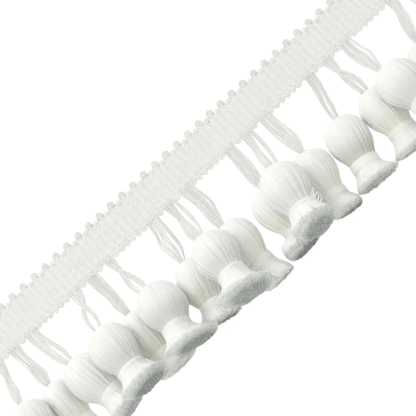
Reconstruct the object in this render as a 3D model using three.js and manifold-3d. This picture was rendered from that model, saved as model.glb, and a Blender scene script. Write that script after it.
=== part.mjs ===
// Tassel fringe trim: a woven heading with a row of picot loops, and yarn tassels in groups of three
// that lie spread on a table. Millimetres, +X along the heading, +Y to the picot edge, +Z up.
// The middle of the heading's back face is the origin.

import * as THREE from 'three';
import { mergeVertices } from 'three/addons/utils/BufferGeometryUtils.js';
import Module from 'manifold-3d';

// Heading: half-inch woven braid, six repeats long
const GROUP_PITCH = 33.8;
const GROUPS = 6;
const LENGTH = GROUP_PITCH * GROUPS;
const HEADING_WIDTH = 12.7;
const HEADING_THICKNESS = 1.4;
const PICOTS_PER_GROUP = 7;
const PICOT_HEIGHT = 1.4;
const SCALLOPS_PER_PICOT = 2;
const SCALLOP_DEPTH = 0.4;

// Hanger: strands that drop from the heading's lower edge and draw together into the top of a head
const STRANDS = 3;
const STRAND_WIDTH = 1.15;
const STRAND_HEIGHT = 0.9;
const STRAND_SPACING = 1.55;
const POLE_DRAW = 0.7;
const STRAND_SEGMENTS = 4;
const STRAND_SINK = 1.6;
const SLOT_WIDTH = STRAND_SPACING * (STRANDS - 1) + STRAND_WIDTH + 0.9;
const CLEARANCE = 0.4;

// Head and neck: station from the pole, radius
const SIDES = 12;
const BELLY_STATION = 7;
const BELLY_RADIUS = 7.2;
const HEAD_PROFILE = [
  { s: 0.3, r: 1.6 },
  { s: 1.1, r: 4.3 },
  { s: 3.0, r: 6.25 },
  { s: 5.6, r: 7.2 },
  { s: 8.4, r: 7.2 },
  { s: 11.4, r: 6.4 },
  { s: 13.8, r: 5.1 },
];
const NECK_END = 19.5;
const NECK_PROFILE = [
  { s: 15.2, r: 3.6 },
  { s: NECK_END, r: 3.6 },
];

// Neck binding: a ring of wound thread, station and radius around its section
const TIE_PROFILE = [
  { s: 15.7, r: 3.95 },
  { s: 16.4, r: 4.9 },
  { s: 18.5, r: 4.9 },
  { s: 19.2, r: 3.95 },
];

// Skirt: cut locks, each three-sided, that flare from the neck to a thick rim and a domed cut end
const LOCKS = 12;
const LOCK_SLIT = 0.4;
const RIM_STATION = 22.5;
const RIM_RADIUS = 7.5;
const LOCK_PROFILE = [
  { innerS: NECK_END, innerR: 1.0, outerS: NECK_END, outerR: 3.2 },
  { innerS: 21.4, innerR: 0.9, outerS: 21.3, outerR: RIM_RADIUS },
  { innerS: 24.8, innerR: 0.9, outerS: 22.8, outerR: RIM_RADIUS },
];

// Contact: how far soft yarn sinks on the table, half the gap to a neighbour, depth that gives way
const TABLE_SINK = 0.2;
const HALF_GAP = 0.25;
const SOFT_DEPTH = 3.6;

// One row a tassel. root: hanger's x at the heading. x, y: middle of the head. lift: height above a head
// that lies on the table. lean, rise: skirt to the side and upward, degrees. skew: rim beside the axis.
// pole: hanger's end beside the head's middle. bow: how far each strand swings to the side.
const TASSEL_COLUMNS = ['root', 'x', 'y', 'lift', 'lean', 'rise', 'size', 'flare', 'skew', 'pole', 'bow'];
const TASSELS = [
  [-91.2, -91.0, -29.5, 8.5, -3, 8, 0.95, 1.0, 0, 0, [-1, -0.5, 0]],
  [-84.5, -82.0, -29.9, 0, 2, 0, 0.95, 0.95, 0, 0, [-0.4, 0, 0.5]],
  [-77.1, -70.5, -29.9, 3.4, 15, 3, 0.99, 1.0, 0, 0.3, [-0.2, 0.3, 1.4]],
  [-57.9, -57.7, -29.5, 9.3, 2.5, 10, 1.0, 1.08, 0.4, 0.3, [-1.6, -0.4, 1.2]],
  [-50.7, -48.7, -30.7, 0, 0, 0, 0.97, 0.92, 1.0, -0.2, [0, 0, 0]],
  [-43.2, -38.8, -29.5, 6.4, -4, 13, 1.0, 1.15, 1.0, -2.0, [-0.9, -0.6, 0.4]],
  [-24.2, -25.3, -30.2, 0, -12, 0, 0.96, 0.95, 0, -1.4, [-2.2, -0.9, 0.2]],
  [-17.0, -15.9, -30.0, 10.2, -2.5, 18, 0.99, 1.16, 0, -0.4, [-0.4, -0.2, 1.8]],
  [-9.8, -8.6, -30.6, 0, 2.5, 0, 1.01, 0.95, 1.2, -0.2, [0.3, 1.0, 2.3]],
  [9.4, 7.35, -30.5, 0, 1, 0, 1.0, 1.05, -1.9, 1.3, [0, 0, 0.1]],
  [16.8, 12.85, -29.6, 11.3, -6, 20, 1.04, 0.9, 0, 1.1, [0, 0.4, 2.2]],
  [24.8, 23.6, -30.7, 0, -6, 0, 0.99, 0.92, 0.9, 0.3, [-0.2, 0, 1.2]],
  [44.3, 38.3, -30.2, 0, -11, 0, 1.0, 1.08, 0.3, 0.3, [-0.6, 0, 0.6]],
  [52.0, 52.5, -30.3, 0, -4, 0, 1.0, 0.97, 0, -0.6, [-0.3, 0, 0.8]],
  [59.7, 59.5, -29.9, 9.6, 4, 16, 1.0, 1.0, 0, -0.5, [-0.3, 0.8, 2.0]],
  [79.6, 73.8, -29.6, 0, 0, 0, 0.97, 0.95, 0, 0.8, [-0.6, 0, 0.4]],
  [86.3, 84.6, -29.8, 7.7, 2, 9, 0.98, 1.0, 0, 0, [-0.4, 0, 1.0]],
  [93.7, 94.0, -29.9, 0, -3, 0, 0.95, 0.95, 0, 0, [-0.8, 0, 0.3]],
].map((row) => Object.fromEntries(row.map((value, i) => [TASSEL_COLUMNS[i], value])));

const wasm = await Module();
wasm.setup();

// Faces between neighbouring rings of n points, from one index on
function bands(first, rings, n) {
  const faces = [];
  for (let i = 0; i + 1 < rings; i += 1) {
    for (let j = 0; j < n; j += 1) {
      const a = first + i * n + j;
      const b = first + i * n + (j + 1) % n;
      faces.push([a, b, b + n]);
      faces.push([a, b + n, a + n]);
    }
  }
  return faces;
}

// Flat end of n points, looking forward or back along the rings
function cap(first, n, forward) {
  const faces = [];
  for (let j = 1; j + 1 < n; j += 1) {
    faces.push(forward ? [first, first + j, first + j + 1] : [first, first + j + 1, first + j]);
  }
  return faces;
}

// Closed body through a row of rings with equal point counts, both ends capped
function loft(rings) {
  const n = rings[0].length;
  const faces = [
    ...cap(0, n, false),
    ...bands(0, rings.length, n),
    ...cap((rings.length - 1) * n, n, true),
  ];
  return outward(rings.flat(), faces);
}

// Head, neck and skirt in one skin: each lock grows out of a three-cornered hole in the neck's end
function bodySkin(rings, locks) {
  const sections = locks[0].length;
  const last = (rings.length - 1) * SIDES;
  const root = (k) => rings.length * SIDES + (k % LOCKS) * sections * 3;
  const faces = [...cap(0, SIDES, false), ...bands(0, rings.length, SIDES)];
  for (let k = 0; k < LOCKS; k += 1) {
    const [inner, left, right] = [root(k), root(k) + 1, root(k) + 2];
    const [nextInner, nextLeft] = [root(k + 1), root(k + 1) + 1];
    const before = last + (k + SIDES - 1) % SIDES;
    const after = last + k;
    faces.push([before, after, right], [before, right, left]);
    faces.push([inner, right, after], [inner, after, nextInner], [nextInner, after, nextLeft]);
    if (k > 0 && k + 1 < LOCKS) {
      faces.push([root(0), inner, nextInner]);
    }
    faces.push(...bands(inner, sections, 3), ...cap(inner + (sections - 1) * 3, 3, true));
  }
  return outward([...rings.flat(), ...locks.flat(2)], faces);
}

// Closed ring body: a section carried around an axis
function hoop(rings) {
  const n = rings[0].length;
  const m = rings.length;
  const faces = [];
  for (let i = 0; i < m; i += 1) {
    const next = (i + 1) % m;
    for (let j = 0; j < n; j += 1) {
      const k = (j + 1) % n;
      faces.push([i * n + j, i * n + k, next * n + k]);
      faces.push([i * n + j, next * n + k, next * n + j]);
    }
  }
  return outward(rings.flat(), faces);
}

// Turns the faces to look out
function outward(points, faces) {
  let volume = 0;
  const cross = new THREE.Vector3();
  for (const [a, b, c] of faces) {
    volume += points[a].dot(cross.crossVectors(points[b], points[c]));
  }
  const turned = volume < 0 ? faces.map(([a, b, c]) => [a, c, b]) : faces;
  return { points, faces: turned };
}

function toSolid({ points, faces }) {
  return new wasm.Manifold(new wasm.Mesh({
    numProp: 3,
    vertProperties: new Float32Array(points.flatMap((p) => [p.x, p.y, p.z])),
    triVerts: new Uint32Array(faces.flat()),
  }));
}

function toGeometry(positions, indices) {
  const geometry = new THREE.BufferGeometry();
  geometry.setAttribute('position', new THREE.Float32BufferAttribute(positions, 3));
  geometry.setIndex(indices);
  geometry.computeVertexNormals();
  return geometry;
}

// Lying place of a tassel: its axis runs from the pole to the skirt
function place(row) {
  const facet = Math.cos(Math.PI / SIDES);
  const rest = BELLY_RADIUS * row.size * facet - TABLE_SINK;
  const rim = RIM_RADIUS * row.flare * row.size * Math.cos(Math.PI / LOCKS);
  const level = Math.asin((rim - TABLE_SINK - rest) / ((RIM_STATION - BELLY_STATION) * row.size));
  const pitch = level + THREE.MathUtils.degToRad(row.rise);
  const yaw = THREE.MathUtils.degToRad(row.lean);
  const axis = new THREE.Vector3(
    Math.sin(yaw) * Math.cos(pitch), -Math.cos(yaw) * Math.cos(pitch), Math.sin(pitch));
  const side = new THREE.Vector3(Math.cos(yaw), Math.sin(yaw), 0);
  const up = new THREE.Vector3().crossVectors(axis, side);
  const centre = new THREE.Vector3(row.x, row.y, rest + row.lift);
  return { row, axis, side, up, centre };
}

function at(frame, s, r, angle) {
  const { axis, side, up, centre, row } = frame;
  const aside = row.skew * Math.max(0, s - NECK_END) / (RIM_STATION - NECK_END);
  return centre.clone()
    .addScaledVector(axis, (s - BELLY_STATION) * row.size)
    .addScaledVector(side, r * row.size * Math.cos(angle) + aside)
    .addScaledVector(up, r * row.size * Math.sin(angle));
}

function ringAt(frame, { s, r }) {
  const ring = [];
  for (let j = 0; j < SIDES; j += 1) {
    ring.push(at(frame, s, r, (j + 0.5) * 2 * Math.PI / SIDES));
  }
  return ring;
}

function lockSection(frame, station, index) {
  const middle = index * 2 * Math.PI / LOCKS;
  const flare = station === LOCK_PROFILE[0] ? 1 : frame.row.flare;
  const outerR = station.outerR * flare;
  const half = Math.PI / LOCKS - Math.asin(LOCK_SLIT / (2 * outerR));
  return [
    at(frame, station.innerS, station.innerR, middle),
    at(frame, station.outerS, outerR, middle - half),
    at(frame, station.outerS, outerR, middle + half),
  ];
}

// Plane where two soft neighbours press on each other, looking from a to b
function contactPlane(a, b) {
  const level = (s, ra, rb) => {
    const pa = at(a, s, 0, 0);
    const pb = at(b, s, 0, 0);
    const normal = pb.clone().sub(pa);
    const gap = normal.length();
    normal.divideScalar(gap);
    const reach = (gap * gap + ra * ra - rb * rb) / (2 * gap);
    return { point: pa.addScaledVector(normal, reach), normal };
  };
  const head = level(BELLY_STATION, BELLY_RADIUS * a.row.size, BELLY_RADIUS * b.row.size);
  const rim = level(RIM_STATION, RIM_RADIUS * a.row.size * a.row.flare,
    RIM_RADIUS * b.row.size * b.row.flare);
  const along = rim.point.clone().sub(head.point).normalize();
  const normal = head.normal.clone().add(rim.normal);
  normal.addScaledVector(along, -normal.dot(along)).normalize();
  return { point: head.point, normal };
}

// Yarn near a contact plane gives way, evenly through the soft depth
function squeeze(points, { point, normal }) {
  const depths = points.map((p) => point.clone().sub(p).dot(normal));
  const least = Math.min(...depths);
  if (least >= HALF_GAP) {
    return;
  }
  const share = (SOFT_DEPTH - HALF_GAP) / (SOFT_DEPTH - least);
  points.forEach((p, i) => {
    if (depths[i] < SOFT_DEPTH) {
      const depth = HALF_GAP + (depths[i] - least) * share;
      p.addScaledVector(normal, depths[i] - depth);
    }
  });
}

// Hanger strand: three-sided, from just off the heading's edge into the pole
function strand(frame, index) {
  const { row, axis } = frame;
  const across = (index - (STRANDS - 1) / 2) * STRAND_SPACING;
  const edge = -HEADING_WIDTH / 2 + SCALLOP_DEPTH - CLEARANCE;
  const start = new THREE.Vector3(row.root + across, edge, HEADING_THICKNESS / 2);
  const end = at(frame, STRAND_SINK, 0, 0);
  end.addScaledVector(frame.side, row.pole + across * POLE_DRAW);
  const pull = start.distanceTo(end) / 3;
  const path = new THREE.CubicBezierCurve3(
    start,
    start.clone().add(new THREE.Vector3(0, -pull, 0)),
    end.clone().addScaledVector(axis, -pull),
    end,
  );
  const rings = [];
  for (let i = 0; i <= STRAND_SEGMENTS; i += 1) {
    const t = i / STRAND_SEGMENTS;
    const p = path.getPoint(t);
    p.x += row.bow[index] * Math.sin(Math.PI * t) ** 2;
    const run = path.getTangent(t);
    const wide = new THREE.Vector3(-run.y, run.x, 0).normalize();
    const rise = new THREE.Vector3().crossVectors(run, wide);
    rise.multiplyScalar(Math.sign(rise.z));
    const half = STRAND_WIDTH / 2 * THREE.MathUtils.lerp(1, POLE_DRAW, t);
    rings.push([
      p.clone().addScaledVector(wide, half).addScaledVector(rise, -STRAND_HEIGHT / 2),
      p.clone().addScaledVector(wide, -half).addScaledVector(rise, -STRAND_HEIGHT / 2),
      p.clone().addScaledVector(rise, STRAND_HEIGHT / 2),
    ]);
  }
  return rings;
}

// One tassel: strands, head with its neck, and skirt locks in one body
function tasselSolid(frame, planes) {
  const head = HEAD_PROFILE.map((station) => ringAt(frame, station));
  const neck = NECK_PROFILE.map((station) => ringAt(frame, station));
  const locks = [];
  for (let i = 0; i < LOCKS; i += 1) {
    locks.push(LOCK_PROFILE.map((station) => lockSection(frame, station, i)));
  }
  for (const plane of planes) {
    squeeze(head.flat(), plane);
    squeeze(locks.flatMap((sections) => sections.slice(1).flat()), plane);
  }
  for (const p of head.flat()) {
    p.z = Math.max(p.z, 0);
  }
  for (const section of locks.flat()) {
    const low = Math.min(...section.map((p) => p.z));
    for (const p of section) {
      p.z += Math.max(0, -low);
    }
  }
  let solid = toSolid(bodySkin([...head, ...neck], locks));
  for (let i = 0; i < STRANDS; i += 1) {
    solid = solid.add(toSolid(loft(strand(frame, i))));
  }
  const mesh = solid.getMesh();
  return toGeometry(mesh.vertProperties, Array.from(mesh.triVerts));
}

function tieGeometry(frame) {
  const rings = [];
  for (let j = 0; j < SIDES; j += 1) {
    const angle = (j + 0.5) * 2 * Math.PI / SIDES;
    rings.push(TIE_PROFILE.map(({ s, r }) => at(frame, s, r, angle)));
  }
  const { points, faces } = hoop(rings);
  return toGeometry(points.flatMap((p) => [p.x, p.y, p.z]), faces.flat());
}

// Heading outline: picot loops along the top, scallops below with a straight slot at each hanger
function headingGeometry() {
  const picotPitch = GROUP_PITCH / PICOTS_PER_GROUP;
  const scallopPitch = picotPitch / SCALLOPS_PER_PICOT;
  const left = -LENGTH / 2;
  const top = HEADING_WIDTH / 2;
  const picot = [
    { across: 0.32, out: 0 },
    { across: 0.38, out: 0.75 },
    { across: 0.53, out: 1 },
    { across: 0.69, out: 1 },
    { across: 0.84, out: 0.75 },
    { across: 0.9, out: 0 },
  ];
  const scallop = [
    { across: 0, out: 0 },
    { across: 0.25, out: 1 },
    { across: 0.75, out: 1 },
  ];
  const outline = [new THREE.Vector2(left, top)];
  for (let i = 0; i < GROUPS * PICOTS_PER_GROUP; i += 1) {
    for (const { across, out } of picot) {
      outline.push(new THREE.Vector2(left + (i + across) * picotPitch, top + out * PICOT_HEIGHT));
    }
  }
  outline.push(new THREE.Vector2(-left, top));
  const lower = [];
  const valley = -top + SCALLOP_DEPTH;
  const inSlot = (x) => TASSELS.some(({ root }) => Math.abs(x - root) < SLOT_WIDTH / 2);
  for (let i = 0; i < GROUPS * PICOTS_PER_GROUP * SCALLOPS_PER_PICOT; i += 1) {
    for (const { across, out } of scallop) {
      const x = left + (i + across) * scallopPitch;
      if (!inSlot(x)) {
        lower.push(new THREE.Vector2(x, valley - out * SCALLOP_DEPTH));
      }
    }
  }
  for (const { root } of TASSELS) {
    lower.push(new THREE.Vector2(root - SLOT_WIDTH / 2, valley));
    lower.push(new THREE.Vector2(root + SLOT_WIDTH / 2, valley));
  }
  lower.push(new THREE.Vector2(-left, valley));
  lower.sort((a, b) => b.x - a.x);
  const shape = new THREE.Shape([...outline, ...lower]);
  const geometry = new THREE.ExtrudeGeometry(shape, { depth: HEADING_THICKNESS, bevelEnabled: false });
  geometry.deleteAttribute('normal');
  geometry.deleteAttribute('uv');
  const merged = mergeVertices(geometry, 1e-4);
  merged.computeVertexNormals();
  return merged;
}

function yarn(color) {
  return new THREE.MeshStandardMaterial({ color, roughness: 0.9, metalness: 0 });
}

function addMesh(group, name, geometry, material) {
  const mesh = new THREE.Mesh(geometry, material);
  mesh.name = name;
  group.add(mesh);
}

const trim = new THREE.Group();
trim.name = 'tassel_fringe';
addMesh(trim, 'heading', headingGeometry(), yarn('#e8ebe5'));
const frames = TASSELS.map(place);
frames.forEach((frame, i) => {
  const neighbours = [frames[i - 1], frames[i + 1]].filter(Boolean);
  const planes = neighbours.map((other) => contactPlane(frame, other));
  const label = String(i + 1).padStart(2, '0');
  addMesh(trim, `tassel_${label}`, tasselSolid(frame, planes), yarn('#eceee8'));
  addMesh(trim, `tie_${label}`, tieGeometry(frame), yarn('#e4e6dd'));
});

export default trim;
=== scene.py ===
"""Looks of a white tassel fringe trim, thread by thread.

A woven heading with picot loops carries groups of three tassels: hanger threads, an onion head,
a bound neck and a short cut skirt.
"""

import math
from dataclasses import dataclass

import bpy
import numpy as np
from bpy.props import FloatProperty, FloatVectorProperty, IntProperty, PointerProperty
from mathutils import Matrix, Vector


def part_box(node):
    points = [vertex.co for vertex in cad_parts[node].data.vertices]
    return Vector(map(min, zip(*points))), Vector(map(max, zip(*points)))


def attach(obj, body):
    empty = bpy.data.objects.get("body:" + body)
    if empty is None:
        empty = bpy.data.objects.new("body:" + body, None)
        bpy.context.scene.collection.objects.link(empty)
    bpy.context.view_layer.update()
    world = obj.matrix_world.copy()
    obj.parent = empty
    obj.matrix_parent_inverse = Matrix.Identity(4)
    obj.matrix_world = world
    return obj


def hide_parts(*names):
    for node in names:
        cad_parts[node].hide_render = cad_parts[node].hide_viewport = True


bl_info = {
    "name": "Tassel Fringe Trim",
    "version": (1, 0, 0),
    "blender": (4, 5, 0),
    "location": "View3D > Sidebar > Trim",
    "description": "Builds the yarn looks of a tassel fringe trim on its solids",
    "category": "Object",
}

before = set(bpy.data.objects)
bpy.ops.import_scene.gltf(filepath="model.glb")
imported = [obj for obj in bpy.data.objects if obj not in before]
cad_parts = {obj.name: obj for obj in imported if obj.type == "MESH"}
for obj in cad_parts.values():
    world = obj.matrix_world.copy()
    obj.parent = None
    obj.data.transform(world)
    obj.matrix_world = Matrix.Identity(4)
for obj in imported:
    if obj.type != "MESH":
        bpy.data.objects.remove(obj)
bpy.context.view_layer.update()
HEADING_LOW, HEADING_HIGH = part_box("heading")

MM = 0.001
TURN = 2 * math.pi
UP = np.array([0.0, 0.0, 1.0])
LEAST_LENGTH = 1e-9

# Repeat of the woven heading, in millimetres; the middle of a picot is a share of its pitch
GROUP_PITCH = 33.8
GROUPS = 6
LENGTH = GROUP_PITCH * GROUPS
PICOTS_A_GROUP = 7
PICOTS = PICOTS_A_GROUP * GROUPS
PICOT_PITCH = LENGTH / PICOTS
PICOT_MIDDLE = 0.61
PICOT_STRAY = 0.08

# Wefts, and warps along the lower edge, measured from the edges of the band and from its middle height
WEFT_SHORT = (0.15, 0.1)
WEFT_HEIGHT = 0.15
WEFT_OVER = 0.02
RIB_HEIGHT = 0.05
WEFT_LIFT = 0.012
WEFT_STRAY = 0.03
WEFT_RADIUS = 0.34
WEFT_FLAT = 0.45
WARP_HEIGHT = 0.2
WARP_UNDER = 0.06
WARP_ASIDE = 0.1
WARP_STRAY = 0.02
WARP_RADIUS = 0.27
WARP_FLAT = 0.7

# Thread loops of the heading's edges: the row they stand in, how far inside its edge their middle lies,
# their reach, radius of the thread, and how much painted shade they carry
EDGE_LOOPS = [
    ("picot", 1.4, 1.0, 0.36, 0.25),
    ("picot", 1.4, 0.6, 0.33, 0.25),
    ("picot", 1.4, 0.2, 0.33, 0.25),
    ("between", 0.45, 0.4, 0.4, 0.0),
    ("scallop", 0.15, 0.78, 0.38, 0.0),
    ("scallop", 0.1, 0.3, 0.4, 0.1),
]
LOOP_LEG = 1.2
LOOP_DEGREES = (-12, 192)
LOOP_STEPS = 11
LOOP_UNEVEN = 0.04
LOOP_LIFT = 0.03
SCALLOP_CLEAR = 2.3

# Woven ground under the threads, measured in the same way; it carries a little painted shade between the
# threads
GROUND_SHORT = 0.2
GROUND_NARROW = 0.3
GROUND_LOW = 0.25
GROUND_HIGH = 0.1
GROUND_STEPS = 60
GROUND_DARK = 0.1

# Tassel sizes along its axis, in millimetres from the pole of the head
BELLY_STATION = 7.0
BELLY_RADIUS = 7.2
RIM_STATION = 22.5
RIM_RADIUS = 7.5
CUT_RADIUS = 7.9
SIDES_OF_SOLID = 12
TABLE_SINK = 0.2
HEAD_LINE = [(0.35, 0.5), (0.45, 2.2), (1.15, 4.3), (3.0, 6.25), (5.6, 7.2), (8.4, 7.2),
             (11.4, 6.45), (13.7, 5.25), (15.1, 4.75), (16.6, 4.3)]
HEAD_STEPS = 14
# Stations over which painted shade and, on a low head, painted light from other yarn grow on the lower part
# of a head
LOWER_HEAD_PAINT = [8.0, 13.5]
NECK_LINE = [(15.0, 3.9), (16.0, 4.0), (18.0, 4.0), (19.6, 4.0)]
NECK_RADIUS = 4.85
# Painted shade of the neck under the binding
NECK_DARK = 0.2

# Binding thread, with so many points a turn
TIE_ENDS = (15.65, 18.7)
TIE_RADIUS = 4.68
TIE_POINTS = 28
TIE_STRAY = 0.04
TIE_UNEVEN = 0.03
TIE_SINK = 0.12
TIE_FLAT = 0.65

# Soft neighbours: half the gap between them, and the depth to which their yarn gives way
HALF_GAP = 0.3
SOFT_DEPTH = 4.2

# Layer of yarn under the outer yarns of a head, drawn as one skin with a little painted shade between them
SKIN_SIDES = 24
BELOW_HEAD = 0.36
BELOW_HEAD_LEAST = 0.1
BELOW_HEAD_CLEAR = 0.35
BELOW_HEAD_DARK = 0.08

# Yarns of a head: their stray, swing and radius are shares of their spacing
YARN_STRAY = 0.06
YARN_SWING = 0.07
YARN_CLOSE = 0.74
SWING_LENGTH = 5.0
YARN_LEAST = 0.12

# Soft lobes over the belly and pleats near the neck, as waves around a head
LOBE_WAVES = range(2, 8)
LOBE_HEIGHT = 0.04
LOBE_STRAY = 0.03
PLEAT_WAVES = range(13, 31)
PLEAT_HEIGHT = 0.1
PLEAT_STATIONS = [6, 11, 14.5, 16]
PLEAT_SHARES = [0.15, 1, 1, 0.3]

# Thread lines of a head: those of its top fade into others below, and all are fainter when it is turned up
LINE_TOP = 0.05
LINE_BELOW = 0.1
LINE_STATIONS = [4, 10]
LINE_LESS = 0.5

# Cut face of a skirt: yarns of the outer rings are long, and so much shows of the others
CUT_SPACING = 0.47
FEWEST_ENDS = 4
OUTER_RINGS = 3
CUT_LENGTH = 1.5
CUT_ROUND = 4
CUT_OPEN = 0.03
FINE_STEPS = 200

# Unevenness of the spacing and of the length of those yarns, and points along them
RINGS = {"outer": (0.12, 0.16, 5), "inner": (0.25, 0.08, 2)}

# Tufts of a skirt and its ragged rim, as waves around it; ends of its yarns, which bloom by a share
TUFT_WAVES = range(2, 9)
TUFT_SPREAD = 0.03
TUFT_LENGTH = 0.16
RAGGED_WAVES = range(9, 24)
RAGGED_LENGTH = 0.2
RAGGED_LESS = 0.6
END_STRAY = 0.015
END_TURN = 0.012
END_LEAST = 0.05
END_BLOOM = 0.5
RIM_BLOOM = 0.35

# Painted shade of a cut face: shares of the rim's radius between which the cut ends turn from painted shade,
# inside, to white; how much farther it reaches to the side away from the window; how much of it the upper
# ends of a face lose, as painted light from above, when the face rises by so many degrees
CUT_SHADE = [0.58, 1.0]
CUT_SHADE_POWER = 1.4
CUT_SHADE_ASIDE = 0.12
CUT_LIGHT = 0.1
CUT_LIGHT_RISE = 15.0
# Random spread of that painted shade from yarn to yarn, and the painted shade added lower down each end,
# deeper in the pile
CUT_SHADE_UNEVEN = 0.08
CUT_SHADE_BELOW = 0.15

# Painted shade on the underside of a skirt, beside that of its cut face, and how much less it is when turned
# up
UNDER_SHADE = 1.2
UNDER_LESS = 0.4

# Body of a skirt under its cut ends, drawn as one skin that carries painted shade between the ends
BODY_BELOW_RIM = 0.1
BODY_BELOW_END = 0.24
BODY_INSIDE = 0.5
BODY_THROAT = (3.9, 4.1)
BODY_OPENS = 0.3
BODY_DARK = 0.85
BODY_CLEAR = 0.5
BODY_STEPS = 9

# Hanger threads: their radius beside their spacing, and its least and greatest share of the yarn's diameter
HANGER_CLOSE = 0.56
HANGER_RADII = (0.42, 0.62)
HANGER_ROOT_Y = -5.7
HANGER_ROOT_Z = 0.8
HANGER_END = 1.0
HANGER_STEPS = 21
HANGER_STACK = 1.6
HANGER_LEAST = 0.1
HANGER_DRIFT = 0.09
HANGER_LIFT = 0.08
HANGER_FLAT = 0.65

# Loose fibres on the outer rings of a skirt
HAIRS = 80
HAIR_RINGS = 8
HAIR_RADIUS = 0.05
HAIR_STEPS = 4
HAIR_LENGTH = (0.3, 0.75)
HAIR_OUT = (0.2, 1.0)
HAIR_STRAY = 0.35
HAIR_BEND = 0.3
HAIR_CLEAR = 0.1

# The tassel with broken yarns, counted from zero: a station for each yarn, and how far away and how thick
# it is along its length
FRAYED_TASSEL = 10
FRAY_STATIONS = [16.5, 17.1, 17.8, 18.7, 19.8]
FRAY_AWAY = [-0.4, 0.5, 1.3, 2.1, 2.8]
FRAY_RADII = [0.2, 0.2, 0.18, 0.14, 0.08]
FRAY_LONG = (0.7, 1.1)
FRAY_OPEN = 2
FRAY_BACK = 0.6
FRAY_ANGLES = (0.6, 0.85)
FRAY_STRAY = 0.04
# Painted light: the broken yarns take a lighter tint so that they stay white in the shade of the heads beside
# them
FRAY_TINT = 1.5

# Heads that sag to the right or, below zero, to the left, counted from zero; shares of a sag at stations
SAGGING = {2: -0.9, 4: -1.2, 5: 1.3, 6: -2.0}
SAG_STATIONS = [5.0, 11.4, 16.6]
SAG_SHARES = [0, 1, 0.2]

# One row a tassel, in millimetres and degrees: hanger root; head middle; lift above the table; sideways
# lean and upward rise of the skirt; size; flare; rim beside the axis; hanger's end beside the head's middle;
# stations where the skirt leaves the binding, of its rim and of the end of its domed cut face; how late
# the skirt opens; how much longer its upper yarns and its right yarns are; how dark the painted shade in the
# middle of its cut face is, and how dark the painted shade on the lower head above its neck.
TASSEL_COLUMNS = ("root", "x", "y", "lift", "lean", "rise", "size", "flare", "skew", "pole",
                  "start", "rim", "end", "curve", "slant", "tilt", "shade", "neck_shade")
TASSELS = [
    (-91.2, -91.0, -29.5, 8.5, -3, 8, 0.95, 1.0, 0, 0, 16.3, 21.6, 24.5, 2.2, 0.5, 0, 0.62, 0.2),
    (-84.5, -82.0, -29.9, 0, 2, 0, 0.95, 0.95, 0, 0, 17.6, 22.6, 24.8, 1.8, 0, 0, 0.62, 0),
    (-77.1, -70.5, -29.9, 3.4, 15, 3, 0.99, 1.0, 0, 0.3, 17.6, 22.6, 25.0, 1.5, 0, 0, 0.62, 0),
    (-57.9, -57.7, -29.5, 9.3, 2.5, 10, 1.0, 1.08, 0.42, 0.3, 16.3, 21.6, 24.2, 2.2, 0.5, 0, 0.85, 0.2),
    (-50.7, -48.7, -30.7, 0, 0, 0, 0.97, 0.92, 0.98, -0.2, 17.6, 22.8, 24.2, 1.8, 0, 0, 0.4, 0),
    (-43.2, -38.8, -29.5, 6.4, -4, 13, 1.0, 1.15, 1.82, -2.0, 16.3, 22.5, 24.5, 2.8, 1.3, 1.0, 0.85, 0.25),
    (-24.2, -25.3, -30.2, 0, -12, 0, 0.96, 0.95, 0, -1.4, 17.6, 22.0, 23.7, 1.8, 0, 0, 0.95, 0.12),
    (-17.0, -15.9, -30.0, 10.2, -2.5, 18, 0.99, 1.16, 0, -0.4, 16.3, 23.3, 25.3, 2.8, 0.9, 1.6, 0.68, 0.2),
    (-9.8, -8.6, -30.6, 0, 2.5, 0, 1.01, 0.95, 2.94, -0.2, 17.6, 24.4, 25, 1.9, 0, 0, 0.62, 0),
    (9.4, 7.35, -30.5, 0, 1, 0, 1.0, 1.05, -2.66, 1.3, 17.4, 20.8, 24.0, 0.3, 0, 0, 1.0, 0),
    (16.8, 12.85, -29.6, 11.3, -6, 20, 1.04, 0.9, 0, 1.1, 16.3, 21.9, 24.2, 1.2, -0.3, 0, 0.68, 0.12),
    (24.8, 23.6, -30.7, 0, -6, 0, 0.99, 0.92, 2.24, 0.3, 17.6, 22.1, 24.3, 1.9, 0, 0, 0.95, 0),
    (44.3, 38.3, -30.2, 0, -11, 0, 1.0, 1.13, -0.28, 0.3, 18.3, 23.0, 24.1, 1.7, 0, -0.6, 0.58, 0.3),
    (52.0, 52.5, -30.3, 0, -4, 0, 1.0, 0.97, 0, -0.6, 17.6, 22.7, 24.1, 1.7, 0, 0, 0.62, 0),
    (59.7, 59.5, -29.9, 9.6, 4, 16, 1.0, 1.0, 0, -0.5, 16.3, 21.6, 24.8, 2.2, 0.5, 0, 0.62, 0.2),
    (79.6, 73.8, -29.6, 0, 0, 0, 0.97, 0.95, 0, 0.8, 17.6, 22.6, 24.8, 1.8, 0, 0, 0.62, 0),
    (86.3, 84.6, -29.8, 7.7, 2, 9, 0.98, 1.0, 0, 0, 16.3, 21.6, 24.6, 2.2, 0.5, 0, 0.62, 0.2),
    (93.7, 94.0, -29.9, 0, -3, 0, 0.95, 0.95, 0, 0, 17.6, 22.6, 24.8, 1.8, 0, 0, 0.62, 0),
]

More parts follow.
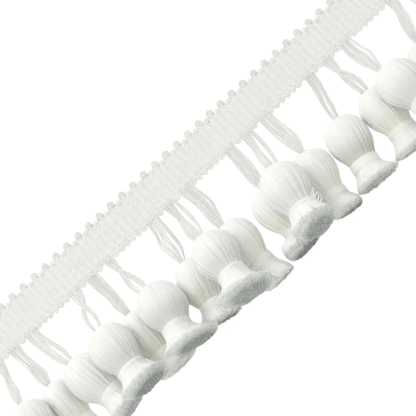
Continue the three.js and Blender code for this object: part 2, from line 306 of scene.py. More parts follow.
# Hanger of each tassel as flat strands: number of threads, then the strand's middle beside the hanger's
# line and its width, in millimetres, at five even steps from the heading to the head.
HANGERS = [
    [(8, (0, -0.2, -0.3, 0.1, 0), (4.2, 2.8, 2.7, 3.5, 2.0))],
    [(8, (0, 0, 0.3, 0.2, 0.1), (5.0, 3.5, 3.5, 4.8, 1.9))],
    [(5, (-0.8, -0.7, -0.7, -0.9, -0.4), (3.4, 3.2, 2.9, 2.6, 1.8)),
     (3, (1.5, 1.6, 2.1, 2.0, 0.8), (1.7, 1.8, 1.6, 1.6, 0.9))],
    [(4, (1.2, 0.2, -1.4, -1.6, -1.0), (2.2, 2.1, 1.8, 1.7, 1.2)),
     (4, (-1.2, -0.7, 0.6, 1.4, 0.9), (2.0, 1.8, 1.7, 1.6, 1.2))],
    [(8, (0, 0.1, 0.4, -0.1, 0), (4.4, 4.4, 3.9, 3.9, 1.8))],
    [(4, (0.8, 0.4, -0.9, -1.4, -0.9), (2.3, 1.9, 1.6, 2.0, 1.2)),
     (4, (-0.9, -0.2, 0.7, 1.2, 1.4), (2.2, 1.7, 1.8, 2.1, 1.3))],
    [(5, (-0.7, -0.9, -1.6, -1.0, -0.5), (3.2, 3.6, 4.2, 3.4, 1.2)),
     (3, (1.8, 1.8, 1.8, 1.8, 0.5), (1.3, 1.4, 1.4, 1.1, 0.6))],
    [(6, (-0.2, -0.2, -0.7, -1.0, -0.6), (3.9, 2.6, 3.0, 4.1, 2.4)),
     (2, (2.3, 2.5, 2.3, 1.8, 0.9), (1.0, 1.4, 1.4, 1.1, 0.6))],
    [(6, (-0.2, 0.4, 0.6, 0, 0), (4.2, 4.1, 4.0, 3.5, 2.1)),
     (2, (2.4, 3.0, 3.4, 2.2, 0.8), (0.9, 1.0, 1.0, 1.0, 0.6))],
    [(8, (0.2, 0.2, 0.2, 0.1, 0), (4.3, 4.5, 4.7, 4.3, 2.2))],
    [(5, (-0.6, -0.8, -1.2, -1.2, -0.8), (3.4, 2.8, 2.7, 3.1, 2.2)),
     (3, (1.9, 2.0, 2.0, 1.8, 1.3), (1.4, 1.7, 1.5, 1.4, 1.2))],
    [(6, (-0.3, -0.4, -0.3, -0.2, 0.1), (4.2, 4.3, 4.1, 3.4, 1.6)),
     (2, (2.2, 2.2, 2.4, 2.1, 0.8), (0.7, 0.8, 1.0, 1.0, 0.6))],
    [(4, (-1.0, -1.0, -1.2, -1.2, -0.6), (2.1, 1.9, 1.6, 1.4, 1.0)),
     (4, (1.1, 0.8, 0.6, 0.8, 0.5), (2.0, 1.7, 1.6, 1.6, 1.0))],
    [(4, (1.0, 0.1, -1.2, -1.3, -0.8), (2.4, 2.0, 2.0, 1.9, 1.2)),
     (4, (-1.2, -0.7, 0.4, 0.8, 0.5), (2.4, 2.0, 2.0, 1.9, 1.2))],
    [(6, (-0.3, -0.4, -0.3, -0.4, -0.2), (4.0, 4.1, 4.4, 3.1, 1.2)),
     (2, (2.3, 2.6, 3.0, 1.8, 0.5), (0.8, 1.0, 1.1, 1.0, 0.6))],
    [(8, (0.3, 0.6, 0.6, 0.4, 0.1), (4.0, 3.4, 4.1, 3.5, 1.6))],
    [(5, (-0.6, -0.8, -0.9, -0.7, -0.4), (3.2, 3.0, 3.0, 2.7, 1.4)),
     (3, (1.6, 1.7, 1.7, 1.4, 0.8), (1.5, 1.4, 1.3, 1.3, 0.9))],
    [(8, (0, -0.2, 0.1, 0.1, 0), (4.3, 3.4, 3.9, 3.7, 1.8))],
]

# Middle and spread of the tint of threads; sides of a round thread and of a loose fibre
# The skirts' lighter middle tint is painted light, for skirts that lie in the shade of their neighbours
TINTS = {"weft": (0, 0.15), "warp": (0, 0.3), "loop": (0, 0.5), "head": (0, 0.45), "skirt": (0.8, 0.35),
         "hanger": (-4.0, 0.5)}
ROUND_SIDES = 5
FIBRE_SIDES = 3

# Steps of the tassels' seed to that of their thread lines and of their bindings
LINE_SEED = 50
TIE_SEED = 100

# Light of a yarn with no tint, and what a step of tint, its plies and soft patches of so many millimetres
# add; turns by which a step of tint shifts the plies, so that neighbours don't line up
BASE_LIGHT = 0.965
TINT_LIGHT = 0.035
PLY_LIGHT = 0.02
PATCH_LIGHT = 0.04
PATCH_MM = 6
PLY_SHIFT = 5.3

# Short fibres: dark that they add or take, height beside that of the plies, and the height of both
FIBRE_DARK = 0.05
FIBRE_HEIGHT = 0.5
RELIEF_MM = 0.04

# Colour of painted light, as of yarn that is lit by other yarn, and how much of it the lower part of a low
# head takes
LIT_BY_YARN = "#FBFAE4"
WARM_LOW_HEAD = 0.35
# Colours of the painted shade between the threads of the braid and of the binding
BRAID_SHADE = "#C9CCC2"
BINDING_SHADE = "#C6C6B6"

# Camera, in millimetres and degrees
VIEW_AIM = (-8.319, -15.704, 1.4)
VIEW_DISTANCE = 300.0
VIEW_ELEVATION = 80.0
VIEW_ROLL = 42.83
FRAME_PIXELS = 416
MM_A_PIXEL = 0.3183

# Stage, in metres and watts; a lamp has its place, size and power
TABLE_HALF = 4
TABLE_SHADE = "#8C8C8C"
ROOM_COLOUR = "#F8F9F9"
LAMPS = {"window": ((-0.22, 0.5, 0.62), 0.7, 4.0), "fill": ((0.3, -0.3, 0.9), 0.8, 0.6)}
LAMP_AIM = (0, -0.02, 0)


def linear(colour):
    """Linear RGBA of an sRGB hex colour."""
    parts = [int(colour[i:i + 2], 16) / 255 for i in (1, 3, 5)]
    return tuple(c / 12.92 if c <= 0.04045 else ((c + 0.055) / 1.055) ** 2.4 for c in parts) + (1.0,)


def length_setting(name, description, default):
    """A length in metres."""
    return FloatProperty(name=name, description=description, default=default, unit="LENGTH")


def whole_setting(name, description, default):
    """A whole number."""
    return IntProperty(name=name, description=description, default=default)


def colour_setting(name, description, default):
    """A colour, from its sRGB hex."""
    return FloatVectorProperty(name=name, description=description, subtype="COLOR", size=4, min=0, max=1,
                               default=linear(default))


class HeadingSettings(bpy.types.PropertyGroup):
    """Sizes of the woven heading. Its threads are as coarse as they need to be to show."""

    width: length_setting("Width", "Width of the woven band without its loops", 0.0127)
    thickness: length_setting("Thickness", "Thickness of the woven band", HEADING_HIGH.z - HEADING_LOW.z)
    picot_height: length_setting("Picot height", "How far the loops stand out on top", 0.0018)
    wefts_a_picot: whole_setting("Wefts a picot", "Cross threads in one picot repeat", 12)
    wefts_a_rib: whole_setting("Wefts a rib", "Cross threads in one low rib across the band", 6)
    crossings: whole_setting("Crossings", "Times a cross thread goes over and under", 24)
    warps: whole_setting("Warps", "Lengthwise threads that show along the lower edge", 4)
    seed: whole_setting("Seed", "Seed of the small unevenness", 7)


class TasselSettings(bpy.types.PropertyGroup):
    """Yarn of the tassels, as coarse as it needs to be for single threads to show."""

    head_threads: whole_setting("Head threads", "Yarns around the head", 120)
    head_yarn: length_setting("Head yarn", "Diameter of the yarn on the head", 0.00062)
    hanger_yarn: length_setting("Hanger yarn", "Diameter of a hanger thread", 0.00056)
    skirt_yarn: length_setting("Skirt yarn", "Diameter of a cut yarn end", 0.00048)
    tie_yarn: length_setting("Binding thread", "Diameter of the thread wound around the neck", 0.00056)
    tie_turns: FloatProperty(name="Binding turns", description="Turns of that thread", default=7.5)
    seed: whole_setting("Seed", "Seed of the unevenness of the yarn", 21)


class FinishSettings(bpy.types.PropertyGroup):
    """Colours of the yarns and of the table."""

    yarn: colour_setting("Yarn", "Colour of the tassel yarn", "#F2F3EE")
    # Colour of the painted shade between and under the yarns and at the cut ends
    yarn_deep: colour_setting("Yarn, inside", "Colour between the cut ends", "#7A827A")
    braid: colour_setting("Braid", "Colour of the woven heading", "#EDEEE8")
    # A little lighter than the yarn, as painted light for necks that lie in the shade of their neighbours
    binding: colour_setting("Binding", "Colour of the neck thread", "#F4F4EE")
    table: colour_setting("Table", "Colour of the table", "#FFFFFF")


class TrimSettings(bpy.types.PropertyGroup):
    """All settings of the trim."""

    heading: PointerProperty(type=HeadingSettings)
    tassel: PointerProperty(type=TasselSettings)
    finish: PointerProperty(type=FinishSettings)


# Lines and places

def spline(rows, count):
    """Smooth line through a short table of points, evenly sampled along the table."""
    points = np.asarray(rows, float)
    padded = np.vstack([2 * points[0] - points[1], points, 2 * points[-1] - points[-2]])
    t = np.linspace(0, len(points) - 1, count)
    i = np.minimum(t.astype(int), len(points) - 2)
    f = (t - i)[:, None]
    a, b, c, d = (padded[i + k] for k in range(4))
    square = 2 * a - 5 * b + 4 * c - d
    cube = 3 * b - a - 3 * c + d
    return 0.5 * (2 * b + (c - a) * f + square * f ** 2 + cube * f ** 3)


def unit(vectors):
    """Vectors at length one."""
    return vectors / np.maximum(np.linalg.norm(vectors, axis=-1, keepdims=True), LEAST_LENGTH)


def waver(rng, angles, waves, size):
    """Soft unevenness around a ring, from a few random waves."""
    total = np.zeros_like(angles)
    for wave in waves:
        total += rng.normal(0, size / math.sqrt(len(waves))) * np.sin(wave * angles + rng.uniform(0, TURN))
    return total


def tints(rng, kind, threads):
    """A tint for each thread of a kind."""
    return rng.normal(*TINTS[kind], len(threads))


def risen(row):
    """How far a skirt is turned up, from zero for one that lies level to one."""
    return min(row["rise"] / CUT_LIGHT_RISE, 1)


def upper_light(row, share, angle):
    """What is left of the painted shade of a cut face at a share of its radius, once painted light from above
    is taken off.
    """
    return 1 - CUT_LIGHT * risen(row) * share * np.clip(np.sin(angle), 0, 1)


def longer_by(row, share, angle):
    """How much longer a skirt's yarns are, at a share of its radius."""
    return share * (row["slant"] * np.sin(angle) + row["tilt"] * np.cos(angle))


def opening(row, station, longer=0.0):
    """How far a skirt has opened at a station, from zero at the binding to one at its rim."""
    share = np.clip((station - row["start"]) / (row["rim"] + longer - row["start"]), 0, 1)
    return share ** row["curve"]


@dataclass
class Lying:
    """How one tassel lies: middle of its head, axis from pole to skirt, and two directions across it."""

    row: dict
    centre: np.ndarray
    axis: np.ndarray
    side: np.ndarray
    up: np.ndarray

    def outward(self, angle):
        """Direction out of the axis at an angle around it."""
        angle = np.asarray(angle, float)
        return np.cos(angle)[..., None] * self.side + np.sin(angle)[..., None] * self.up

    def at(self, station, radius, angle):
        """Points at stations along the axis, radii and angles around it."""
        values = (np.asarray(value, float) for value in (station, radius, angle))
        station, radius, angle = np.broadcast_arrays(*values)
        size = self.row["size"]
        along = ((station - BELLY_STATION) * size)[..., None] * self.axis
        aside = self.row["skew"] * opening(self.row, station)
        across = aside[..., None] * self.side + (radius * size)[..., None] * self.outward(angle)
        return self.centre + along + across


def lying(row):
    """Place of a tassel: belly and rim on the table, then lifted, leant and tipped up."""
    facet = math.cos(math.pi / SIDES_OF_SOLID)
    rest = BELLY_RADIUS * row["size"] * facet - TABLE_SINK
    rim = RIM_RADIUS * row["flare"] * row["size"] * facet
    level = math.asin((rim - TABLE_SINK - rest) / ((RIM_STATION - BELLY_STATION) * row["size"]))
    pitch = level + math.radians(row["rise"])
    yaw = math.radians(row["lean"])
    axis = np.array([math.sin(yaw) * math.cos(pitch), -math.cos(yaw) * math.cos(pitch), math.sin(pitch)])
    side = np.array([math.cos(yaw), math.sin(yaw), 0.0])
    return Lying(row, np.array([row["x"], row["y"], rest + row["lift"]]), axis, side, np.cross(axis, side))


def all_lying():
    """Places of all tassels, from the left end."""
    return [lying(dict(zip(TASSEL_COLUMNS, row))) for row in TASSELS]


def contact_plane(a, b):
    """Plane where two soft neighbours press on each other, looking from a to b."""
    found = []
    for station, ra, rb in ((BELLY_STATION, BELLY_RADIUS, BELLY_RADIUS),
                            (RIM_STATION, RIM_RADIUS * a.row["flare"], RIM_RADIUS * b.row["flare"])):
        pa, pb = a.at(station, 0, 0), b.at(station, 0, 0)
        gap = np.linalg.norm(pb - pa)
        normal = (pb - pa) / gap
        reach = (gap ** 2 + (ra * a.row["size"]) ** 2 - (rb * b.row["size"]) ** 2) / (2 * gap)
        found.append((pa + normal * reach, normal))
    (point, first), (rim_point, second) = found
    along = unit(rim_point - point)
    normal = first + second
    return point, unit(normal - along * (normal @ along))


def give_way(bundles, planes):
    """Yarn gives way to neighbours, less and less to the soft depth, and to the table."""
    for point, normal in planes:
        depths = [(point - paths) @ normal for paths, _ in bundles]
        least = min(d.min() for d in depths)
        if least >= HALF_GAP:
            continue
        power = (SOFT_DEPTH - least) / (SOFT_DEPTH - HALF_GAP)
        for (paths, _), depth in zip(bundles, depths):
            share = np.clip((depth - least) / (SOFT_DEPTH - least), 0, 1)
            pressed = HALF_GAP + (SOFT_DEPTH - HALF_GAP) * share ** power
            moved = np.where(depth < SOFT_DEPTH, depth - pressed, 0.0)
            paths += moved[..., None] * normal
    for paths, radius in bundles:
        paths[..., 2] = np.maximum(paths[..., 2], radius)


class ThreadMesh:
    """Thread tubes and skins gathered into one mesh, in millimetres, with what the finish reads."""

    # Readings for the finish: deep is painted shade, warm is painted light as from other yarn
    READ = ("along", "around", "tint", "deep", "warm")

    def __init__(self):
        self.points, self.faces, self.smooth, self.count = [], [], [], 0
        self.read = {name: [] for name in self.READ}

    def add(self, points, faces, **read):
        """Takes in points, faces on them, and one value a point of each reading."""
        self.points.append(points.reshape(-1, 3))
        self.cover(faces + self.count, True)
        self.count += len(self.points[-1])
        for name in self.READ:
            values = np.broadcast_to(read.get(name, 0.0), points.shape[:-1])
            self.read[name].append(values.reshape(-1))

    def cover(self, faces, smooth):
        """Takes in faces on points that are in already."""
        self.faces += faces.tolist()
        self.smooth += [smooth] * len(faces)

    def tubes(self, paths, outward, radius, sides=4, tint=0.0, deep=0.0, warm=0.0, flat=1.0):
        """Closed tubes along rows of points, flattened along outward, the way in which they face."""
        n, m = paths.shape[:2]
        run = unit(np.gradient(paths, axis=1))
        wide = unit(np.cross(run, np.broadcast_to(outward, paths.shape)))
        high = np.cross(wide, run)
        angles = -math.pi / 2 + math.pi / sides + TURN * np.arange(sides) / sides
        radius = np.broadcast_to(radius, (n, m))[:, :, None, None]
        ring = np.cos(angles)[:, None] * wide[:, :, None] + flat * np.sin(angles)[:, None] * high[:, :, None]
        points = paths[:, :, None] + radius * ring
        index = np.arange(n * m * sides).reshape(n, m, sides)
        after = np.roll(index, -1, axis=2)
        quads = np.stack([index[:, :-1], index[:, 1:], after[:, 1:], after[:, :-1]], -1).reshape(-1, 4)
        steps = np.linalg.norm(np.diff(paths, axis=1), axis=2)
        along = np.concatenate([np.zeros((n, 1)), np.cumsum(steps, axis=1)], axis=1)
        deep, warm = (np.broadcast_to(value, (n, m))[:, :, None] for value in (deep, warm))
        before = self.count
        self.add(points, quads, along=along[:, :, None], around=np.arange(sides) / sides,
                 tint=np.reshape(tint, (-1, 1, 1)), deep=deep, warm=warm)
        self.cover(index[:, 0] + before, False)
        self.cover(index[:, -1, ::-1] + before, False)

    def skin(self, rings, deep):
        """Closed skin through rings of equal point count."""
        m, n = rings.shape[:2]
        index = np.arange(m * n).reshape(m, n)
        after = np.roll(index, -1, axis=1)
        quads = np.stack([index[:-1], after[:-1], after[1:], index[1:]], -1).reshape(-1, 4)
        before = self.count
        self.add(rings, quads, deep=deep)
        self.cover(index[:1, ::-1] + before, True)
        self.cover(index[-1:] + before, True)

    def piece(self, name, material, slot, node):
        """The finished piece, which stands for a solid and rides with it on the trim's one body."""
        mesh = bpy.data.meshes.new(name)
        mesh.from_pydata(np.concatenate(self.points) * MM, [], self.faces)
        mesh.polygons.foreach_set("use_smooth", self.smooth)
        for reading, values in self.read.items():
            layer = mesh.attributes.new(reading, "FLOAT", "POINT")
            layer.data.foreach_set("value", np.concatenate(values).astype(np.float32))
        mesh.materials.append(material)
        piece = bpy.data.objects.new(name, mesh)
        bpy.context.scene.collection.objects.link(piece)
        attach(piece, "root")
        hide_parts(node)
        return piece


# Finishes

def add_node(tree, kind, settings=None, **inputs):
    """Adds a node with its settings; an input is a value or the socket that feeds it."""
    node = tree.nodes.new(kind)
    for name, value in (settings or {}).items():
        setattr(node, name, value)
    for name, value in inputs.items():
        key = int(name[1:]) if name[0] == "_" else name.replace("_", " ")
        socket = node.inputs[key]
        if isinstance(value, bpy.types.NodeSocket):
            tree.links.new(value, socket)
        else:
            socket.default_value = value
    return node


def yarn_finish(name, colour, deep, twist_mm, fibre_mm, rough, sheen):
    """Spun yarn: plies that wind around each thread, short fibres, small differences between threads.

    Single fibres are a few hundredths of a millimetre thick, too fine to show, so they are drawn coarser.
    """
    material = bpy.data.materials.get(name)
    if material:
        return material
    material = bpy.data.materials.new(name)
    material.use_nodes = True
    tree = material.node_tree
    tree.nodes.clear()
    read = {}
    for reading in ThreadMesh.READ:
        read[reading] = add_node(tree, "ShaderNodeAttribute", {"attribute_name": reading}).outputs["Fac"]
    place = add_node(tree, "ShaderNodeTexCoord").outputs["Object"]
    added = {"operation": "MULTIPLY_ADD"}
    turns = read["around"]
    for value, share in ((read["tint"], PLY_SHIFT), (read["along"], 1 / twist_mm)):
        turns = add_node(tree, "ShaderNodeMath", added, _0=value, _1=share, _2=turns).outputs[0]
    angle = add_node(tree, "ShaderNodeMath", {"operation": "MULTIPLY"}, _0=turns, _1=TURN).outputs[0]
    ply = add_node(tree, "ShaderNodeMath", {"operation": "SINE"}, _0=angle).outputs[0]
    fibre = add_node(tree, "ShaderNodeTexNoise", Vector=place, Scale=1 / (fibre_mm * MM), Detail=2.0,
                     Roughness=0.6).outputs["Fac"]
    patch = add_node(tree, "ShaderNodeTexNoise", Vector=place, Scale=1 / (PATCH_MM * MM),
                     Detail=1.0).outputs["Fac"]
    light = BASE_LIGHT
    for value, share in ((read["tint"], TINT_LIGHT), (ply, PLY_LIGHT), (patch, PATCH_LIGHT)):
        light = add_node(tree, "ShaderNodeMath", added, _0=value, _1=share, _2=light).outputs[0]
    grain = add_node(tree, "ShaderNodeMapRange", Value=fibre, From_Min=0.3, From_Max=0.7, To_Min=-FIBRE_DARK,
                     To_Max=FIBRE_DARK).outputs[0]
    # Painted shade, with the fibres' grain, mixes in the shade colour after painted light from other yarn has
    # warmed the colour
    depth = add_node(tree, "ShaderNodeMath", {"operation": "ADD", "use_clamp": True}, _0=read["deep"],
                     _1=grain).outputs[0]
    warmed = add_node(tree, "ShaderNodeMix", {"data_type": "RGBA"}, Factor=read["warm"], _6=colour,
                      _7=linear(LIT_BY_YARN)).outputs[2]
    mixed = add_node(tree, "ShaderNodeMix", {"data_type": "RGBA"}, Factor=depth, _6=warmed,
                     _7=deep).outputs[2]
    shown = add_node(tree, "ShaderNodeVectorMath", {"operation": "SCALE"}, _0=mixed, Scale=light).outputs[0]
    relief = add_node(tree, "ShaderNodeMath", added, _0=fibre, _1=FIBRE_HEIGHT, _2=ply).outputs[0]
    bump = add_node(tree, "ShaderNodeBump", Strength=0.25, Distance=RELIEF_MM * MM, Height=relief).outputs[0]
    shader = add_node(tree, "ShaderNodeBsdfPrincipled", Base_Color=shown, Roughness=rough, IOR=1.5,
                      Normal=bump, Sheen_Weight=sheen, Sheen_Roughness=0.5, Specular_IOR_Level=0.25)
    add_node(tree, "ShaderNodeOutputMaterial", Surface=shader.outputs[0])
    return material


def tassel_yarn():
    """Spun rayon and cotton yarn, softly twisted: matt white with a faint sheen along the threads."""
    finish = bpy.context.scene.trim.finish
    return yarn_finish("spun_rayon_yarn", finish.yarn, finish.yarn_deep, twist_mm=1.1, fibre_mm=0.25,
                       rough=0.7, sheen=0.25)


def heading_braid():
    """Woven cotton braid: duller and more even than the tassels."""
    finish = bpy.context.scene.trim.finish
    return yarn_finish("woven_cotton_braid", finish.braid, linear(BRAID_SHADE), twist_mm=0.8, fibre_mm=0.2,
                       rough=0.8, sheen=0.15)


def neck_thread():
    """Mercerised cotton thread, wound tight: fine close lines, a little creamier than the yarn."""
    finish = bpy.context.scene.trim.finish
    return yarn_finish("wound_cotton_thread", finish.binding, linear(BINDING_SHADE), twist_mm=0.7,
                       fibre_mm=0.2, rough=0.65, sheen=0.2)


# Heading

def weave_paths(settings, rng):
    """Wefts that go over and under across the band, and warps along its lower part."""
    half, middle = settings.width / MM / 2, settings.thickness / MM / 2
    number = np.arange(PICOTS * settings.wefts_a_picot)
    weft_x = -LENGTH / 2 + LENGTH / len(number) * (number + 0.5)
    weft_y = np.linspace(-half + WEFT_SHORT[0], half - WEFT_SHORT[1], settings.crossings)
    over = np.where((number[:, None] + np.arange(settings.crossings)) % 2, -1.0, 1.0)
    rib = RIB_HEIGHT * np.cos(TURN * number / settings.wefts_a_rib)
    z = middle + WEFT_HEIGHT + WEFT_OVER * over + rib[:, None] + rng.normal(0, WEFT_LIFT, over.shape)
    x = weft_x[:, None] + rng.normal(0, WEFT_STRAY, z.shape)
    weft = np.stack([x, np.broadcast_to(weft_y, z.shape), z], -1)
    warp_x = np.concatenate([[-LENGTH / 2], weft_x, [LENGTH / 2]])
    under = middle + WARP_HEIGHT - WARP_UNDER * over[:, :settings.warps].T
    warp_z = np.pad(under, ((0, 0), (1, 1)), mode="edge")
    warp_y = weft_y[:settings.warps, None] + WARP_ASIDE + rng.normal(0, WARP_STRAY, warp_z.shape)
    warp = np.stack([np.broadcast_to(warp_x, warp_z.shape), warp_y, warp_z], -1)
    return weft, warp


def loops(middles, centre_y, reach, out, height_z, rng):
    """Round thread loops at an edge, with both legs in the band; out is the way they stand."""
    turn = np.radians(np.linspace(*LOOP_DEGREES, LOOP_STEPS))
    reach = reach * rng.normal(1, LOOP_UNEVEN, (len(middles), 1))
    x = np.asarray(middles)[:, None] + reach * np.pad(np.cos(turn), 1, mode="edge")
    y = centre_y + out * np.pad(reach * np.sin(turn), ((0, 0), (1, 1)), constant_values=-LOOP_LEG)
    z = height_z + rng.normal(0, LOOP_LIFT, (len(middles), 1)) + 0 * x
    return np.stack([x, y, z], -1)


def edge_rows(settings, rng):
    """Rows of loops: middles along the band, the edge that they reach, and the way they stand."""
    half = settings.width / MM / 2
    picots = -LENGTH / 2 + (np.arange(PICOTS) + PICOT_MIDDLE) * PICOT_PITCH
    picots = picots + rng.normal(0, PICOT_STRAY, PICOTS)
    scallops = -LENGTH / 2 + (np.arange(2 * PICOTS) + 0.5) * PICOT_PITCH / 2
    roots = np.array([row[0] for row in TASSELS])
    free = scallops[np.abs(scallops[:, None] - roots).min(axis=1) > SCALLOP_CLEAR]
    return {"picot": (picots, half + settings.picot_height / MM, 1),
            "between": (picots[:-1] + PICOT_PITCH / 2, half, 1),
            "scallop": (free, -half, -1)}


def ground_rings(settings):
    """Rings along the woven ground under the threads."""
    half, middle = settings.width / MM / 2, settings.thickness / MM / 2
    side, low, high = half - GROUND_NARROW, middle - GROUND_LOW, middle + GROUND_HIGH
    along = np.linspace(-LENGTH / 2 + GROUND_SHORT, LENGTH / 2 - GROUND_SHORT, GROUND_STEPS)
    edge = [(-side, low), (side, low), (side, high), (-side, high)]
    return np.array([[(x, y, z) for y, z in edge] for x in along])


class TRIM_OT_camera(bpy.types.Operator):
    """Sets the camera over the lying trim, turned so that the trim rises to the right."""

    bl_idname = "trim.camera"
    bl_label = "Camera"

    def execute(self, context):
        elevation, roll = math.radians(VIEW_ELEVATION), math.radians(VIEW_ROLL)
        look = Vector((0, math.cos(elevation), -math.sin(elevation)))
        rise = Vector((0, math.sin(elevation), math.cos(elevation)))
        along = Vector((1, 0, 0))
        right = along * math.cos(roll) - rise * math.sin(roll)
        up = along * math.sin(roll) + rise * math.cos(roll)
        data = bpy.data.cameras.new("camera")
        data.sensor_width = 36
        data.lens = data.sensor_width * VIEW_DISTANCE / (MM_A_PIXEL * FRAME_PIXELS)
        data.clip_start = 0.01
        camera = bpy.data.objects.new("camera", data)
        turn = Matrix((right, up, -look)).transposed().to_4x4()
        camera.matrix_world = Matrix.Translation((Vector(VIEW_AIM) - look * VIEW_DISTANCE) * MM) @ turn
        context.scene.collection.objects.link(camera)
        context.scene.camera = camera
        return {"FINISHED"}


class TRIM_OT_heading(bpy.types.Operator):
    """Weaves the heading with its picot loops and scalloped edge."""

    bl_idname = "trim.heading"
    bl_label = "Woven heading"

    def execute(self, context):
        settings = context.scene.trim.heading
        rng = np.random.default_rng(settings.seed)
        weft, warp = weave_paths(settings, rng)
        braid = ThreadMesh()
        braid.tubes(weft, UP, WEFT_RADIUS, tint=tints(rng, "weft", weft), flat=WEFT_FLAT)
        braid.tubes(warp, UP, WARP_RADIUS, tint=tints(rng, "warp", warp), flat=WARP_FLAT)
        rows = edge_rows(settings, rng)
        for name, inside, reach, thick, deep in EDGE_LOOPS:
            middles, edge, out = rows[name]
            rounds = loops(middles, edge - out * inside, reach, out, settings.thickness / MM / 2, rng)
            braid.tubes(rounds, UP, thick, sides=ROUND_SIDES, tint=tints(rng, "loop", rounds), deep=deep)
        threads = braid.piece("heading_weave", heading_braid(), "heading_braid", "heading")
        ground = ThreadMesh()
        ground.skin(ground_rings(settings), deep=GROUND_DARK)
        cloth = ground.piece("heading_ground", heading_braid(), "heading_braid", "heading")
        return {"FINISHED"}


# Tassels

def sagging(number, station, angle):
    """How much farther out a sagging head is on one side."""
    most = SAGGING.get(number, 0.0)
    share = np.interp(station, SAG_STATIONS, SAG_SHARES)
    return share * np.clip(most * np.cos(angle), 0, None)


def thread_lines(place, number, station, settings):
    """Pairs of yarns that stand out or lie low on a head, faint at its top and deeper below."""
    rng = np.random.default_rng(settings.seed + LINE_SEED + number)
    drawn = rng.normal(0, 1, (2, settings.head_threads))
    top, below = ((drawn + np.roll(drawn, 1, axis=1)) / math.sqrt(2))[:, :, None]
    lower = np.interp(station, LINE_STATIONS, [0, 1])
    lines = LINE_TOP * top * (1 - lower) + LINE_BELOW * below * lower
    return lines * (1 - LINE_LESS * risen(place.row))


def head_bundle(place, number, settings, rng):
    """Yarns of a head from pole to neck: points, outward directions, radii."""
    count = settings.head_threads
    station, radius = spline(HEAD_LINE, HEAD_STEPS).T
    base = TURN * (np.arange(count) + rng.uniform(-YARN_STRAY, YARN_STRAY, count)) / count
    swing = rng.normal(0, YARN_SWING * TURN / count, (count, 1))
    angle = base[:, None] + swing * np.sin(station / SWING_LENGTH + rng.uniform(0, TURN, (count, 1)))
    spacing = TURN * radius * place.row["size"] / count
    thick = np.clip(YARN_CLOSE * spacing, YARN_LEAST, settings.head_yarn / MM / 2)
    # Soft lobes and thread lines over the belly, and pleats where the yarns are gathered into the neck
    belly = np.clip(radius / BELLY_RADIUS, 0, 1) ** 2
    lobes = rng.normal(0, LOBE_STRAY, (count, 1)) + waver(rng, base, LOBE_WAVES, LOBE_HEIGHT)[:, None]
    gathered = np.interp(station, PLEAT_STATIONS, PLEAT_SHARES)
    pleats = waver(rng, base, PLEAT_WAVES, PLEAT_HEIGHT)[:, None] * gathered
    out = (lobes + thread_lines(place, number, station, settings)) * belly + pleats
    out = out + sagging(number, station, angle)
    paths = place.at(station, radius - thick + out, angle)
    return paths, place.outward(angle), np.broadcast_to(thick, paths.shape[:2])


def below_head(place, number, around):
    """Layer of yarn under the outer yarns of a head, so that no gap shows through."""
    station, radius = spline(HEAD_LINE, HEAD_STEPS).T[:, :, None]
    radius = np.maximum(radius - BELOW_HEAD, BELOW_HEAD_LEAST) + sagging(number, station, around)
    return place.at(station, radius, around)


def bulge(share):
    """How far a cut face stands out at a share of its radius: flat in the middle, round at the rim."""
    return 1 - share ** CUT_ROUND


def cut_rings(row):
    """Rings of yarn ends, evenly spaced over the domed cut face: radius share, station, splay."""
    radius, height = CUT_RADIUS * row["flare"], row["end"] - row["rim"]
    fine = np.linspace(1, CUT_OPEN, FINE_STEPS)
    run = np.cumsum(np.hypot(np.gradient(radius * fine), np.gradient(height * bulge(fine))))
    share = np.interp(np.arange(run[0], run[-1], CUT_SPACING), run, fine)
    splay = np.arctan2(height * CUT_ROUND * share ** (CUT_ROUND - 1), radius)
    return zip(share, row["rim"] + height * bulge(share), splay)


def cut_dark(row, share, turned, outward, t, rng):
    """Painted shade of the yarns of a ring: more to the middle of the face, to the side away from the window
    and to its lower side.
    """
    under = (UNDER_SHADE - UNDER_LESS * risen(row)) * row["shade"] * np.clip(-outward[..., 2], 0, 1) * t ** 2
    shade_share = share * (1 - CUT_SHADE_ASIDE * np.cos(turned))
    inside = np.interp(shade_share, CUT_SHADE, [1, 0]) ** CUT_SHADE_POWER * upper_light(row, share, turned)
    ends = rng.normal(row["shade"], CUT_SHADE_UNEVEN, (len(turned), 1))
    return np.clip(np.maximum(under, inside * (ends + CUT_SHADE_BELOW * (1 - t ** 2))), 0, 1)


